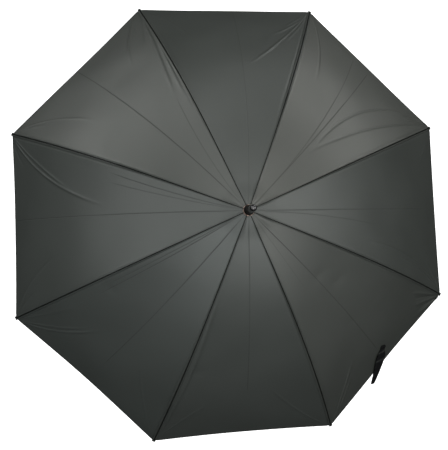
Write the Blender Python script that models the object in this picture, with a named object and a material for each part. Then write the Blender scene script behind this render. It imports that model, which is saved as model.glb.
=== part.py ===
"""Stick umbrella, standing open: steel shaft, crook handle, eight two-piece ribs with their
stretchers, a sliding runner with two leaf catches, and a canopy of eight fabric gores.

Metres, +Z up along the shaft. The origin is on the shaft's axis, in the middle of the grip.
Rib pieces are drawn in the rib plane (x = distance from the shaft's axis, y = tangential,
z = height above the notch pivots) and then placed round the shaft."""

from math import asin, atan, cos, pi, radians, sin, sqrt

import bmesh
import bpy
from mathutils import Matrix, Vector

# Canopy and ribs, open
RIBS = 8
FIRST_RIB = radians(22.5)
PITCH = 2 * pi / RIBS
TIP_RADIUS = 0.520
CANOPY_DROP = 0.200
CONE_SHARE = 0.22
STRAIGHTENING = 0.7  # how far the bend eases off again towards the tip
NOTCH_Z = 0.660

# Folding linkage: notch pivot to rib joint equals rib joint to runner pivot
HINGE_RADIUS = 0.0135
LINK = 0.265
LUG_DROP = 0.0055
FLEX_OUT = 0.006
GAP = 0.0003

# Shaft, wires and pins
SHAFT_RADIUS = 0.006
SHAFT_WALL = 0.001
SHAFT_BOTTOM = 0.010
SHAFT_TOP = NOTCH_Z + 0.026
WIRE_RADIUS = 0.0006
PIN_RADIUS = 0.0008
HOLE_EXTRA = 0.0003

# Pressed steel ribs and stretchers
BLADE = 0.0016
SLOT = 0.0024
EYE_RADIUS = 0.0019
RIB_WIDTH, RIB_HEIGHT, RIB_WALL = 0.0044, 0.0032, 0.0008
STRETCHER_WIDTH, STRETCHER_HEIGHT, STRETCHER_WALL = 0.0039, 0.0030, 0.0008
CHANNEL_START = 0.0070
ROD_RADIUS = 0.0011
CAP_LENGTH = 0.020
CAP_RADIUS = 0.0021

# Notch and runner
CROWN_RADIUS = 0.0175
CROWN_UP, CROWN_DOWN = 0.0035, 0.0045
SLEEVE_INNER, SLEEVE_OUTER = 0.0064, 0.0081
SLEEVE_LENGTH = 0.050
WINDOW_LOW, WINDOW_HIGH = 0.034, 0.021

# Leaf catches
LEAF_LENGTH = 0.030
LEAF_WIDTH = 0.003
NOSE_REACH = 0.0090
LEAF_PIVOT_X = 0.0026

# Canopy fabric
FABRIC = 0.0010
FABRIC_LIFT = 0.0028
CROWN_LIFT = 0.0064
CROWN_LIFT_END = 0.018
FABRIC_LIFT_START = 0.060
CENTRE_HOLE = 0.0086
HEM_RADIUS = 0.516
SCALLOP = 0.0040
PANEL_DIP = 0.006
SEAM_GAP = 0.0002

# Tie strap, on the gore between ribs 7 and 8
STRAP_GORE = 7
STRAP_ROOT = (0.536, 0.466)
STRAP_END = (0.345, 0.530)
STRAP_WIDTH = 0.022
STRAP_THICK = 0.0014

# Handle
GRIP_TOP = 0.060
GRIP_BOTTOM = -0.062
CROOK_RADIUS = 0.046
GRIP_RADIUS = 0.0118
CROOK_END_RADIUS = 0.0092
COLLAR_HEIGHT = 0.014


def rib_drop(radius):
    """How far the open rib's axis lies below the notch pivots."""

    def below_crown(at):
        share = at / TIP_RADIUS
        bend = share**3 * (1 + STRAIGHTENING * (1 - share))
        return CANOPY_DROP * (CONE_SHARE * share + (1 - CONE_SHARE) * bend)

    return below_crown(radius) - below_crown(HINGE_RADIUS)


def rib_slope(radius):
    """Angle of the open rib below the horizontal."""
    share = radius / TIP_RADIUS
    bend = share**2 * (3 + STRAIGHTENING * (3 - 4 * share))
    return atan(CANOPY_DROP / TIP_RADIUS * (CONE_SHARE + (1 - CONE_SHARE) * bend))


def rib_point(radius, lift=0.0, side=0.0):
    """A point of the rib plane, lifted square to the rib's axis."""
    slope = rib_slope(radius)
    return Vector((radius + lift * sin(slope), side, lift * cos(slope) - rib_drop(radius)))


def radius_where(reached, low, high):
    """Bisection for the radius at which reached(radius) turns true."""
    for _ in range(50):
        middle = (low + high) / 2
        low, high = (low, middle) if reached(middle) else (middle, high)
    return (low + high) / 2


# Pivots in the rib plane. The linkage is an isosceles triangle, so the runner stays on the shaft.
NOTCH_PIVOT = Vector((HINGE_RADIUS, 0, 0))
JOINT_RADIUS = radius_where(lambda r: (rib_point(r, -LUG_DROP) - NOTCH_PIVOT).length > LINK, 0.1, 0.4)
RIB_JOINT = rib_point(JOINT_RADIUS, -LUG_DROP)
RUNNER_PIVOT = Vector((HINGE_RADIUS, 0, 2 * RIB_JOINT.z))
FLEX_RADIUS = JOINT_RADIUS + FLEX_OUT
FLEX_PIVOT = rib_point(FLEX_RADIUS)
RUNNER_Z = NOTCH_Z + RUNNER_PIVOT.z

# Runner height with the umbrella closed, its links 1.5 degrees off the shaft
CLOSED_LINK_ANGLE = radians(88.5)
CLOSED_RUNNER_Z = NOTCH_Z - 2 * LINK * sin(CLOSED_LINK_ANGLE)


def clear_scene():
    for obj in list(bpy.data.objects):
        bpy.data.objects.remove(obj)


def finish(name, colour, roughness, metallic=0.0):
    material = bpy.data.materials.new(name)
    material.use_nodes = True
    shader = material.node_tree.nodes["Principled BSDF"]
    shader.inputs["Base Color"].default_value = (*colour, 1)
    shader.inputs["Roughness"].default_value = roughness
    shader.inputs["Metallic"].default_value = metallic
    material.diffuse_color = (*colour, 1)
    return material


def mesh_from(points, faces):
    """A closed mesh with its faces turned outward."""
    shape = bmesh.new()
    verts = [shape.verts.new(point) for point in points]
    for face in faces:
        shape.faces.new([verts[index] for index in face])
    bmesh.ops.recalc_face_normals(shape, faces=shape.faces)
    mesh = bpy.data.meshes.new("shape")
    shape.to_mesh(mesh)
    shape.free()
    return mesh


def lofted(rings):
    """A skin over rings of equal point count, closed with a flat face at each end."""
    count = len(rings[0])
    points = [point for ring in rings for point in ring]
    faces = [tuple(range(count)), tuple(range(len(points) - count, len(points)))]
    for start in range(0, len(points) - count, count):
        for index in range(count):
            after = (index + 1) % count
            faces.append((start + index, start + after, start + count + after, start + count + index))
    return mesh_from(points, faces)


def turned(outline, sides, at=(0, 0, 0)):
    """A closed (radius, height) outline turned about Z. Points of radius 0 lie on the axis."""
    points, rows = [], []
    for radius, height in outline:
        if radius == 0:
            points.append(Vector((0, 0, height)) + Vector(at))
            rows.append([len(points) - 1] * sides)
            continue
        rows.append(range(len(points), len(points) + sides))
        for step in range(sides):
            angle = 2 * pi * (step + 0.5) / sides
            points.append(Vector((radius * cos(angle), radius * sin(angle), height)) + Vector(at))
    faces = []
    for row, after in zip(rows, rows[1:] + rows[:1]):
        for step in range(sides):
            beside = (step + 1) % sides
            corners = (row[step], row[beside], after[beside], after[step])
            face = [corner for index, corner in enumerate(corners) if corner not in corners[:index]]
            if len(face) > 2:
                faces.append(face)
    return mesh_from(points, faces)


def plate(outline, thickness):
    """A flat outline of (x, z) points, centred on y = 0."""
    return lofted([[Vector((x, side, z)) for x, z in outline] for side in (-thickness / 2, thickness / 2)])


def rod(start, end, radius, sides=10):
    """A straight round bar."""
    along = (end - start).normalized()
    across = along.orthogonal().normalized()
    other = along.cross(across)
    rings = []
    for centre in (start, end):
        turns = [2 * pi * step / sides for step in range(sides)]
        rings.append([centre + radius * (cos(a) * across + sin(a) * other) for a in turns])
    return lofted(rings)


def box(low, high):
    (x0, y0, z0), (x1, y1, z1) = low, high
    return lofted([[(x0, y0, z), (x1, y0, z), (x1, y1, z), (x0, y1, z)] for z in (z0, z1)])


def combined(mesh, other, operation):
    """The mesh joined with another, or cut by it."""
    body = bpy.data.objects.new("body", mesh)
    tool = bpy.data.objects.new("tool", other)
    for obj in (body, tool):
        bpy.context.scene.collection.objects.link(obj)
    modifier = body.modifiers.new("combine", "BOOLEAN")
    modifier.operation = operation
    modifier.solver = "EXACT"
    modifier.object = tool
    bpy.context.view_layer.update()
    result = bpy.data.meshes.new_from_object(body.evaluated_get(bpy.context.evaluated_depsgraph_get()))
    bpy.data.objects.remove(body)
    bpy.data.objects.remove(tool)
    return result


def joined(mesh, *others):
    for other in others:
        mesh = combined(mesh, other, "UNION")
    return mesh


def cut(mesh, *cutters):
    for cutter in cutters:
        mesh = combined(mesh, cutter, "DIFFERENCE")
    return mesh


def add(name, mesh, material, origin=(0, 0, 0), turn=0.0, smooth=40.0):
    """A named object whose mesh, given in the frame turned about Z, has its origin moved to origin."""
    mesh.transform(Matrix.Translation(-Vector(origin)))
    mesh.materials.clear()
    mesh.materials.append(material)
    mesh.shade_smooth()
    mesh.set_sharp_from_angle(angle=radians(smooth))
    return place(name, mesh, origin, turn)


def place(name, mesh, origin, turn):
    obj = bpy.data.objects.new(name, mesh)
    bpy.context.scene.collection.objects.link(obj)
    obj.location = Matrix.Rotation(turn, 3, "Z") @ Vector(origin)
    obj.rotation_euler = (0, 0, turn)
    return obj


def azimuth(number):
    """Direction of rib 1 to 8, seen from above."""
    return FIRST_RIB + (number - 1) * PITCH


def round_the_shaft(pattern, mesh, material, origin):
    """One copy of a rib-plane piece for each rib, all sharing one mesh, named rib_1_inner and so on."""
    raised = Matrix.Translation((0, 0, NOTCH_Z))
    mesh.transform(raised)
    origin = raised @ Vector(origin)
    first = add(pattern.format(1), mesh, material, origin, azimuth(1))
    for number in range(2, RIBS + 1):
        place(pattern.format(number), first.data, origin, azimuth(number))


def eye_plate(pivot, direction, reach, half_width, eye_radius, hole_radius, thickness=BLADE):
    """A pressed tab with a round pierced end about its pivot, running off in a direction of the rib plane."""
    along = direction.normalized()
    across = Vector((-along.z, 0, along.x))
    opening = asin(half_width / eye_radius)
    arc = [opening + (2 * pi - 2 * opening) * step / 8 for step in range(9)]
    outline = [pivot + eye_radius * (cos(a) * along + sin(a) * across) for a in arc]
    outline += [pivot + reach * along - half_width * across, pivot + reach * along + half_width * across]
    tab = plate([(point.x, point.z) for point in outline], thickness)
    side = Vector((0, thickness, 0))
    return cut(tab, rod(pivot - side, pivot + side, hole_radius, 8))


def channel_section(width, height, wall, flip=1):
    """Across a pressed U: (side, up) points, open below, or above where flip is -1."""
    half, top, inside = width / 2, height / 2, width / 2 - wall
    corners = [(-half, -top), (-half, top), (half, top), (half, -top)]
    corners += [(inside, -top), (inside, top - wall), (-inside, top - wall), (-inside, -top)]
    return [(side, flip * up) for side, up in corners]


def rib_inner():
    """The sprung steel half: notch eye, fluted channel, and a lug for the stretcher."""
    section = channel_section(RIB_WIDTH, RIB_HEIGHT, RIB_WALL)
    start, end = HINGE_RADIUS + CHANNEL_START, FLEX_RADIUS + 0.0035
    rings = []
    for step in range(9):
        radius = start + (end - start) * step / 8
        rings.append([rib_point(radius, up, side) for side, up in section])
    channel = lofted(rings)
    blade_slope = rib_slope(HINGE_RADIUS)
    blade = eye_plate(NOTCH_PIVOT, Vector((cos(blade_slope), 0, -sin(blade_slope))), 0.014, 0.0013,
                      EYE_RADIUS, WIRE_RADIUS + HOLE_EXTRA)
    up = rib_point(JOINT_RADIUS) - RIB_JOINT
    lug = eye_plate(RIB_JOINT, up, LUG_DROP + 0.0012, 0.0019, 0.0021, PIN_RADIUS + HOLE_EXTRA)
    rib = joined(channel, blade, lug)
    # The web stops short of the flex point, so that the outer rod can swing up between the walls.
    inside = RIB_WIDTH / 2 - RIB_WALL
    window = []
    for radius in (FLEX_RADIUS - 0.0030, end + 0.002):
        window.append([rib_point(radius, up, side) for side, up in
                       ((-inside, -0.004), (inside, -0.004), (inside, 0.004), (-inside, 0.004))])
    return cut(rib, lofted(window))


def rib_outer():
    """The glass-fibre half: a round rod from the flex point into the tip cap."""
    start, end = FLEX_RADIUS - 0.0012, TIP_RADIUS - CAP_LENGTH * 0.45
    rings = []
    for step in range(11):
        radius = start + (end - start) * step / 10
        turns = [2 * pi * (corner + 0.5) / 8 for corner in range(8)]
        rings.append([rib_point(radius, ROD_RADIUS * sin(a), ROD_RADIUS * cos(a)) for a in turns])
    return lofted(rings)


def rib_tip():
    """A small pointed cap over the rod's end, with a blind bore."""
    bore, depth = ROD_RADIUS + GAP, CAP_LENGTH * 0.55
    outline = [(0, CAP_LENGTH), (0.0010, CAP_LENGTH - 0.0004), (0.0014, CAP_LENGTH * 0.72)]
    outline += [(CAP_RADIUS, CAP_LENGTH * 0.55), (CAP_RADIUS, 0), (bore, 0), (bore, depth), (0, depth)]
    cap = turned(outline[::-1], 10)
    middle = TIP_RADIUS - CAP_LENGTH * 0.5 * cos(rib_slope(TIP_RADIUS))
    slope = rib_slope(middle)
    aim = Vector((cos(slope), 0, -sin(slope)))
    seat = rib_point(middle) - aim * CAP_LENGTH * 0.5
    cap.transform(Matrix.Translation(seat) @ Matrix.Rotation(pi / 2 + slope, 4, "Y"))
    return cap


def stretcher():
    """A channel from the runner pivot to the rib joint, with a rivet through its forked outer end."""
    along = (RIB_JOINT - RUNNER_PIVOT).normalized()
    up = Vector((-along.z, 0, along.x))
    section = channel_section(STRETCHER_WIDTH, STRETCHER_HEIGHT, STRETCHER_WALL, -1)

    def ring(distance, corners):
        return [RUNNER_PIVOT + distance * along + lift * up + Vector((0, side, 0)) for side, lift in corners]

    channel = lofted([ring(distance, section) for distance in (CHANNEL_START, LINK + 0.0017)])
    blade = eye_plate(RUNNER_PIVOT, along, 0.014, 0.0012, EYE_RADIUS, WIRE_RADIUS + HOLE_EXTRA)
    inside = STRETCHER_WIDTH / 2 - STRETCHER_WALL
    gap = [(-inside, -0.004), (inside, -0.004), (inside, 0.004), (-inside, 0.004)]
    fork = cut(channel, lofted([ring(distance, gap) for distance in (LINK - 0.0036, LINK + 0.004)]))
    half = Vector((0, STRETCHER_WIDTH / 2 + 0.0004, 0))
    return joined(fork, blade, rod(RIB_JOINT - half, RIB_JOINT + half, PIN_RADIUS, 10))


def canopy_lift(radius):
    """Height of the fabric's under side above the rib's axis: more over the notch, less outside it."""
    share = (radius - CROWN_LIFT_END) / (FABRIC_LIFT_START - CROWN_LIFT_END)
    share = min(1, max(0, share))
    ease = share * share * (3 - 2 * share)
    return CROWN_LIFT + (FABRIC_LIFT - CROWN_LIFT) * ease


def gore_point(number, across, radius, lift=0.0):
    """A point of the gore between rib number and the next: across 0 to 1, at a rib radius."""
    first, second = azimuth(number), azimuth(number + 1)
    middle = (first + second) / 2
    ends = [Vector((radius * cos(a), radius * sin(a), 0)) for a in (first, second)]
    point = ends[0].lerp(ends[1], across)
    point.z = NOTCH_Z - rib_drop(radius)
    slope = rib_slope(radius)
    normal = Vector((sin(slope) * cos(middle), sin(slope) * sin(middle), cos(slope)))
    between = 4 * across * (1 - across)
    dip = PANEL_DIP * between * sin(pi * min(1, radius / TIP_RADIUS)) ** 2
    return point + normal * (canopy_lift(radius) + lift - dip)


def gore(number):
    """One fabric panel between two ribs, its hem drawn in between the tips."""
    acrosses, steps = 4, 9
    sheets = []
    for lift in (0, FABRIC):
        sheet = []
        for step in range(steps + 1):
            row = []
            for side in range(acrosses + 1):
                share = side / acrosses
                hem = HEM_RADIUS - SCALLOP * 4 * share * (1 - share)
                radius = CENTRE_HOLE + (hem - CENTRE_HOLE) * (step / steps) ** 0.9
                margin = SEAM_GAP / (2 * radius * sin(PITCH / 2))
                row.append(gore_point(number, margin + (1 - 2 * margin) * share, radius, lift))
            sheet.append(row)
        sheets.append(sheet)
    width = acrosses + 1
    under = (steps + 1) * width
    points = [point for sheet in sheets for row in sheet for point in row]
    faces = []
    for step in range(steps):
        for side in range(acrosses):
            corner = step * width + side
            quad = (corner, corner + 1, corner + width + 1, corner + width)
            faces += [quad, tuple(index + under for index in quad)]
    rim = list(range(width)) + [step * width + acrosses for step in range(1, steps + 1)]
    rim += [steps * width + side for side in range(acrosses - 1, -1, -1)]
    rim += [step * width for step in range(steps - 1, 0, -1)]
    for index, here in enumerate(rim):
        after = rim[(index + 1) % len(rim)]
        faces.append((here, after, after + under, here + under))
    return mesh_from(points, faces)


def pierced_ring(outline, slot_bottom, slot_top):
    """A turned crown with a groove for its wire, and a slot for each rib or stretcher."""
    ring = turned(outline, 24)
    for number in range(1, RIBS + 1):
        cutter = box((0.0108, -SLOT / 2, slot_bottom), (CROWN_RADIUS + 0.003, SLOT / 2, slot_top))
        cutter.transform(Matrix.Rotation(azimuth(number), 4, "Z"))
        ring = cut(ring, cutter)
    return ring


def groove_outline():
    """The crown's top edge from outside to inside, stepping down into the wire groove."""
    half = WIRE_RADIUS + HOLE_EXTRA
    outer, inner = HINGE_RADIUS + half, HINGE_RADIUS - half
    return [(CROWN_RADIUS, CROWN_UP), (outer, CROWN_UP), (outer, -half), (inner, -half), (inner, CROWN_UP)]


def wire_ring():
    """The closed wire that the eyes hinge on."""
    turns = [2 * pi * step / 5 for step in range(5)]
    section = [(HINGE_RADIUS + WIRE_RADIUS * cos(a), WIRE_RADIUS * sin(a)) for a in turns]
    return turned(section, 24)


def cross_pin(half_length, height, radius=PIN_RADIUS, along="X", offset=0.0):
    ends = [Vector((side * half_length, 0, height)) for side in (-1, 1)]
    if along == "Y":
        ends = [Vector((offset, side * half_length, height)) for side in (-1, 1)]
    return rod(ends[0], ends[1], radius, 12)


def notch():
    bottom = [(SLEEVE_INNER, -CROWN_DOWN), (CROWN_RADIUS, -CROWN_DOWN)]
    ring = pierced_ring(bottom + groove_outline() + [(SLEEVE_INNER, CROWN_UP)], -0.01, 0.01)
    return cut(ring, cross_pin(0.02, NOTCH_PIN_HEIGHT, PIN_RADIUS + HOLE_EXTRA))


def runner():
    """Sliding sleeve with a slotted crown, and a window that the lower catch springs into."""
    outline = [(SLEEVE_INNER, -SLEEVE_LENGTH), (SLEEVE_OUTER, -SLEEVE_LENGTH), (SLEEVE_OUTER, -0.0100)]
    outline += [(0.0120, -0.0064), (CROWN_RADIUS, -0.0052)]
    ring = pierced_ring(outline + groove_outline() + [(SLEEVE_INNER, CROWN_UP)], -0.0025, 0.01)
    return cut(ring, box((0.003, -0.0022, -WINDOW_LOW), (0.012, 0.0022, -WINDOW_HIGH)))


def leaf(up):
    """A leaf catch about its pivot. Its nose has a ramp and a square ledge, at the top where up is 1."""
    back, front = -0.0007, 0.0007
    nose_start, nose_tip = LEAF_LENGTH - 0.0095, NOSE_REACH - LEAF_PIVOT_X
    turns = [radians(30 + 300 * step / 9) for step in range(10)]
    outline = [(0.0015 * sin(a), 0.0015 * cos(a)) for a in turns]
    outline += [(back, LEAF_LENGTH), (nose_tip, LEAF_LENGTH), (nose_tip, LEAF_LENGTH - 0.0015)]
    outline += [(front, nose_start)]
    blade = plate([(x, up * z) for x, z in outline], LEAF_WIDTH)
    side = Vector((0, LEAF_WIDTH, 0))
    return cut(blade, rod(-side, side, PIN_RADIUS + 0.0002, 10))


NOTCH_PIN_HEIGHT = -0.0027
TOP_LEAF_Z = RUNNER_Z - SLEEVE_LENGTH - GAP - LEAF_LENGTH
BOTTOM_LEAF_Z = CLOSED_RUNNER_Z - WINDOW_LOW + 0.0008 + LEAF_LENGTH
STOP_PIN_Z = RUNNER_Z + CROWN_UP + 0.0014
STOP_PIN_RADIUS = 0.0010


def shaft():
    """Steel tube with a slot for each catch, and holes for the pins."""
    inner = SHAFT_RADIUS - SHAFT_WALL
    tube = turned([(inner, SHAFT_BOTTOM), (SHAFT_RADIUS, SHAFT_BOTTOM), (SHAFT_RADIUS, SHAFT_TOP),
                   (inner, SHAFT_TOP)], 16)
    holes = [cross_pin(0.01, NOTCH_Z + NOTCH_PIN_HEIGHT, PIN_RADIUS + HOLE_EXTRA)]
    holes.append(cross_pin(0.01, STOP_PIN_Z, STOP_PIN_RADIUS + HOLE_EXTRA))
    for pivot, up in ((TOP_LEAF_Z, 1), (BOTTOM_LEAF_Z, -1)):
        holes.append(cross_pin(0.01, pivot, PIN_RADIUS + HOLE_EXTRA, "Y", LEAF_PIVOT_X))
        ends = sorted((pivot + up * (LEAF_LENGTH - 0.0115), pivot + up * (LEAF_LENGTH + 0.0015)))
        holes.append(box((0.0035, -LEAF_WIDTH / 2 - 0.0004, ends[0]), (0.008, LEAF_WIDTH / 2 + 0.0004, ends[1])))
    return cut(tube, *holes)


def crook_handle():
    """The J handle, thinner towards its free end, bored for the shaft."""
    path = [(Vector((0, 0, GRIP_TOP + (GRIP_BOTTOM - GRIP_TOP) * step / 4)), 0.0) for step in range(4)]
    centre = Vector((CROOK_RADIUS, 0, GRIP_BOTTOM))
    for step in range(17):
        bend = radians(190) * step / 16
        path.append((centre + CROOK_RADIUS * Vector((-cos(bend), 0, -sin(bend))), bend))
    rings = []
    for index, (middle, bend) in enumerate(path):
        share = index / (len(path) - 1)
        radius = GRIP_RADIUS + (CROOK_END_RADIUS - GRIP_RADIUS) * share**1.5
        across = Vector((cos(bend), 0, sin(bend)))
        turns = [2 * pi * (corner + 0.5) / 14 for corner in range(14)]
        rings.append([middle + radius * (cos(a) * across + Vector((0, sin(a), 0))) for a in turns])
    bore = rod(Vector((0, 0, SHAFT_BOTTOM - 0.002)), Vector((0, 0, GRIP_TOP + 0.01)), SHAFT_RADIUS + GAP, 16)
    return cut(lofted(rings), bore)


def handle_end_cap():
    """A low metal button on the crook's free end."""
    bend = radians(190)
    end = Vector((CROOK_RADIUS, 0, GRIP_BOTTOM)) + CROOK_RADIUS * Vector((-cos(bend), 0, -sin(bend)))
    edge = CROOK_END_RADIUS
    dome = [(0, 0), (edge, 0), (edge, 0.003), (0.92 * edge, 0.0052), (0.65 * edge, 0.0068), (0, 0.0075)]
    cap = turned(dome, 14)
    away = Vector((sin(bend), 0, -cos(bend)))
    facing = Vector((0, 0, 1)).rotation_difference(away).to_matrix().to_4x4()
    cap.transform(Matrix.Translation(end + GAP * away) @ facing)
    return cap


def handle_collar():
    """A nickel band where the shaft enters the grip."""
    base, bore, edge = GRIP_TOP + GAP, SHAFT_RADIUS + GAP, GRIP_RADIUS + 0.0006
    outline = [(bore, 0), (edge, 0), (edge, COLLAR_HEIGHT * 0.55), (edge - 0.0012, COLLAR_HEIGHT * 0.72)]
    outline += [(bore + 0.0018, COLLAR_HEIGHT), (bore, COLLAR_HEIGHT)]
    return turned(outline, 20, (0, 0, base))


CROWN_Z = NOTCH_Z + CROWN_LIFT + FABRIC + 0.0005
CROWN_RING_HEIGHT = 0.0035
FERRULE_HEIGHT = 0.026
TIP_HEIGHT = 0.028


def crown_ring():
    """The open cap: a shallow metal cup that presses the fabric down round the shaft."""
    bore = SHAFT_RADIUS + GAP
    outline = [(bore, 0), (0.0100, 0), (0.0104, 0.0012), (0.0101, CROWN_RING_HEIGHT), (0.0095, CROWN_RING_HEIGHT)]
    outline += [(0.0092, 0.0022), (bore, 0.0022)]
    return turned(outline, 24, (0, 0, CROWN_Z))


def ferrule():
    """The dark sleeve over the shaft's top end, with a blind bore."""
    bore, depth = SHAFT_RADIUS + GAP, SHAFT_TOP + GAP - (CROWN_Z + 0.0022 + GAP)
    outline = [(bore, 0), (0.0088, 0), (0.0088, 0.006), (0.0081, 0.010), (0.0074, FERRULE_HEIGHT)]
    outline += [(0, FERRULE_HEIGHT), (0, depth), (bore, depth)]
    return turned(outline, 20, (0, 0, CROWN_Z + 0.0022 + GAP))


def ferrule_tip():
    """The hard black end that meets the ground, flat at its very tip."""
    top = TIP_HEIGHT
    outline = [(0, 0), (0.0066, 0), (0.0068, 0.002), (0.0063, top - 0.006), (0.0055, top - 0.0022)]
    outline += [(0.0038, top), (0, top)]
    return turned(outline, 20, (0, 0, CROWN_Z + 0.0022 + 2 * GAP + FERRULE_HEIGHT))


def strap_station(share, sideways, lift):
    """A point over the strap's gore: share 0 to 1 from its sewn root to its free end."""
    across = STRAP_ROOT[0] + (STRAP_END[0] - STRAP_ROOT[0]) * share
    radius = STRAP_ROOT[1] + (STRAP_END[1] - STRAP_ROOT[1]) * share
    chord = 2 * radius * sin(PITCH / 2)
    run = Vector(((STRAP_END[0] - STRAP_ROOT[0]) * chord, STRAP_END[1] - STRAP_ROOT[1])).normalized()
    across += sideways * run.y / chord
    return gore_point(STRAP_GORE, across, radius - sideways * run.x, FABRIC + lift)


def strap_piece(start, end, width, low, high, steps):
    """A flat band lying over the fabric."""
    rings = []
    for step in range(steps + 1):
        share = start + (end - start) * step / steps
        corners = ((-width / 2, low), (width / 2, low), (width / 2, high), (-width / 2, high))
        rings.append([strap_station(share, sideways, lift) for sideways, lift in corners])
    return lofted(rings)


def build():
    clear_scene()
    steel = finish("shaft_steel", (0.03, 0.03, 0.032), 0.3, 0.9)
    plated = finish("plated_steel", (0.55, 0.54, 0.52), 0.3, 1.0)
    ribs = finish("rib_steel", (0.06, 0.06, 0.065), 0.35, 0.8)
    fibre = finish("rib_fibre", (0.02, 0.02, 0.02), 0.45)
    plastic = finish("black_plastic", (0.02, 0.02, 0.02), 0.4)
    gloss = finish("gloss_tip", (0.01, 0.01, 0.01), 0.12)
    copper = finish("crown_metal", (0.55, 0.42, 0.38), 0.3, 1.0)
    lacquer = finish("handle_lacquer", (0.035, 0.022, 0.015), 0.25)
    fabric = finish("canopy_fabric", (0.085, 0.095, 0.085), 0.75)
    webbing = finish("strap_fabric", (0.012, 0.012, 0.013), 0.85)

    round_the_shaft("rib_{}_inner", rib_inner(), ribs, NOTCH_PIVOT)
    round_the_shaft("rib_{}_outer", rib_outer(), fibre, FLEX_PIVOT)
    round_the_shaft("rib_{}_tip", rib_tip(), plastic, FLEX_PIVOT)
    round_the_shaft("stretcher_{}", stretcher(), ribs, RIB_JOINT)
    for number in range(1, RIBS + 1):
        turn = Matrix.Rotation(-azimuth(number), 4, "Z")
        panel = gore(number)
        panel.transform(turn)
        add(f"gore_{number}", panel, fabric, (HINGE_RADIUS, 0, NOTCH_Z), azimuth(number), 30)

    add("shaft", shaft(), steel)
    add("handle", crook_handle(), lacquer, smooth=60)
    add("handle_end_cap", handle_end_cap(), plated)
    add("handle_collar", handle_collar(), plated)

    raised = Matrix.Translation((0, 0, NOTCH_Z))
    washer = turned([(SLEEVE_INNER, 0), (0.0168, 0), (0.0168, 0.0013), (SLEEVE_INNER, 0.0013)], 24,
                    (0, 0, CROWN_UP + GAP))
    for name, mesh, material in (
        ("notch", notch(), plastic),
        ("notch_washer", washer, plastic),
        ("notch_wire", wire_ring(), plated),
        ("notch_pin", cross_pin(CROWN_RADIUS - 0.001, NOTCH_PIN_HEIGHT), plated),
    ):
        mesh.transform(raised)
        add(name, mesh, material, (0, 0, NOTCH_Z))

    lowered = Matrix.Translation((0, 0, RUNNER_Z))
    for name, mesh, material in (("runner", runner(), plastic), ("runner_wire", wire_ring(), plated)):
        mesh.transform(lowered)
        add(name, mesh, material, (0, 0, RUNNER_Z))
    add("stop_pin", cross_pin(0.0078, STOP_PIN_Z, STOP_PIN_RADIUS), plated)

    pin_half = sqrt(SHAFT_RADIUS**2 - (LEAF_PIVOT_X + PIN_RADIUS) ** 2)
    for name, pivot, up in (("top_spring", TOP_LEAF_Z, 1), ("bottom_spring", BOTTOM_LEAF_Z, -1)):
        blade = leaf(up)
        blade.transform(Matrix.Translation((LEAF_PIVOT_X, 0, pivot)))
        add(name, blade, plated, (LEAF_PIVOT_X, 0, pivot))
        add(f"{name}_pin", cross_pin(pin_half, pivot, PIN_RADIUS, "Y", LEAF_PIVOT_X), plated)

    add("crown_ring", crown_ring(), copper)
    add("ferrule", ferrule(), plastic)
    add("ferrule_tip", ferrule_tip(), gloss)

    strap_low = 0.0006
    strap_high = strap_low + STRAP_THICK
    add("tie_strap", strap_piece(0, 1, STRAP_WIDTH, strap_low, strap_high, 8), webbing)
    pad = strap_piece(0.80, 0.95, STRAP_WIDTH * 0.6, strap_high + GAP + 0.0001, strap_high + 0.0016, 2)
    add("strap_pad", pad, webbing)


build()
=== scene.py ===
"""Looks for the open stick umbrella: a creased woven canopy in rib-centred sections that fold up
with their ribs, a crumpled tie strap, a turned ferrule and a lacquered crook handle.

Metres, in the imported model's frame: +Z up the shaft, origin in the middle of the grip."""

from math import atan, cos, pi, radians, sin

import bmesh
import bpy
import numpy as np
from mathutils import Matrix, Vector


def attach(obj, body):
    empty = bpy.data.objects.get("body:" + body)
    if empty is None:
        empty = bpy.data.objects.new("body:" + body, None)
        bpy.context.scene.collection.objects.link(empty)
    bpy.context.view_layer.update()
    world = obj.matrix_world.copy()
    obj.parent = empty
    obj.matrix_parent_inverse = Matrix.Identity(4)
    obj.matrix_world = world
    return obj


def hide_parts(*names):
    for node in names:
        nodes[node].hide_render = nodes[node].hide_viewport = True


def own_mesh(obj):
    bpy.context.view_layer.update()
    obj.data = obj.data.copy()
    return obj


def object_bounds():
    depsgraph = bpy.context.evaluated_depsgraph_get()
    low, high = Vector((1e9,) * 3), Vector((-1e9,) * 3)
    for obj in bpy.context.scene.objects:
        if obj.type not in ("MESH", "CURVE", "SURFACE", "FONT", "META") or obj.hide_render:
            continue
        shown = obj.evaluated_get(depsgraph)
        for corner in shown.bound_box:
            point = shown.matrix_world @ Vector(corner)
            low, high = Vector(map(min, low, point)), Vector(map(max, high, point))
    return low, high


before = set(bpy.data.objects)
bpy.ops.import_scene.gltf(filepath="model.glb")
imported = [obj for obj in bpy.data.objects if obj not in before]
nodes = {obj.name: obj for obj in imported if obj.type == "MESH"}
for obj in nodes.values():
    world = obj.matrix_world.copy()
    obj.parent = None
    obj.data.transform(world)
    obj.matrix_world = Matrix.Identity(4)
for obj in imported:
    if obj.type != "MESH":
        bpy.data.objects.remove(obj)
cad_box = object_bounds()

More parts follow.
